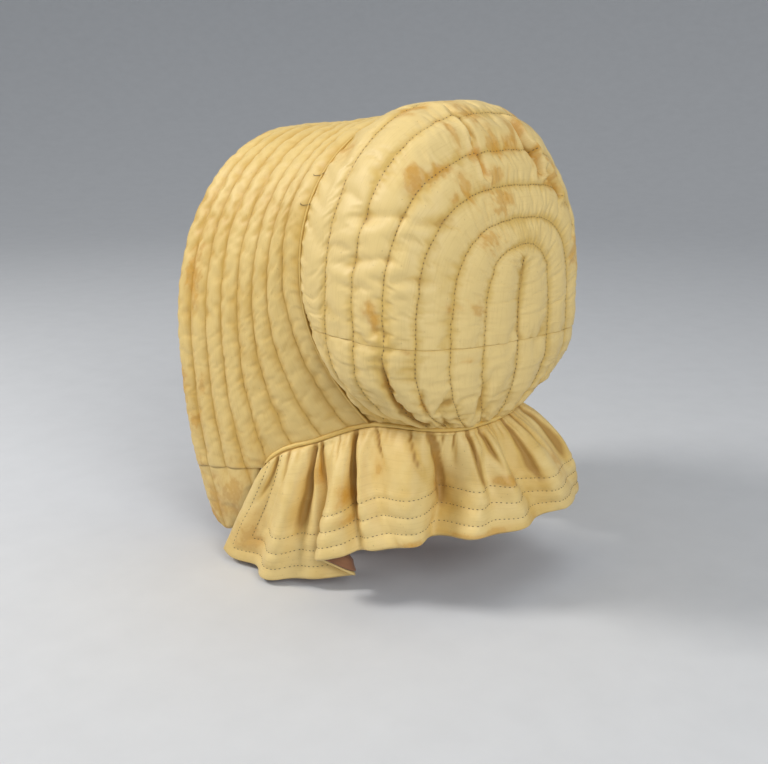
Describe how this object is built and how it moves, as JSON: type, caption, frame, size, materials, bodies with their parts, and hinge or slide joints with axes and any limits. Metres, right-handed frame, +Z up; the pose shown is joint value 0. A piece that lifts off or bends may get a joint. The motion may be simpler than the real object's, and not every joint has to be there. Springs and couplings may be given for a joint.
{
  "type": "quilted hood with a gathered neck curtain",
  "caption": "Quilted silk hood: a deep channel-quilted brim, a quilted crown gathered to it and to the nape, and a gathered, lined neck curtain.",
  "frame": {"origin": "inner top of the crown, where the hood sits on the head", "axes": "+Z up, -Y toward the face, +Y the back of the head, +X the wearer's left"},
  "size_m": [0.2136, 0.2448, 0.317],
  "materials": {
    "silk_brim": "straw-gold silk taffeta, wadded and quilted in channels, worn pale on the ridges and stained",
    "silk_crown": "straw-gold silk taffeta, wadded and quilted in arcs, puckered, with amber stains",
    "silk_curtain": "straw-gold silk taffeta, thinly wadded, gathered, with three stitched rows above the hem",
    "silk_piping": "straw-gold silk over a thin cord",
    "lining_brown": "warm brown plain-weave lining, matt"
  },
  "bodies": {
    "root": {"brim_band": "silk_brim", "brim_corner_left": "silk_brim", "brim_corner_right": "silk_brim", "crown_upper": "silk_crown", "crown_lower": "silk_crown", "crown_piping": "silk_piping", "neck_piping": "silk_piping", "bavolet": "silk_curtain", "bavolet_lining": "lining_brown"}
  },
  "joints": []
}
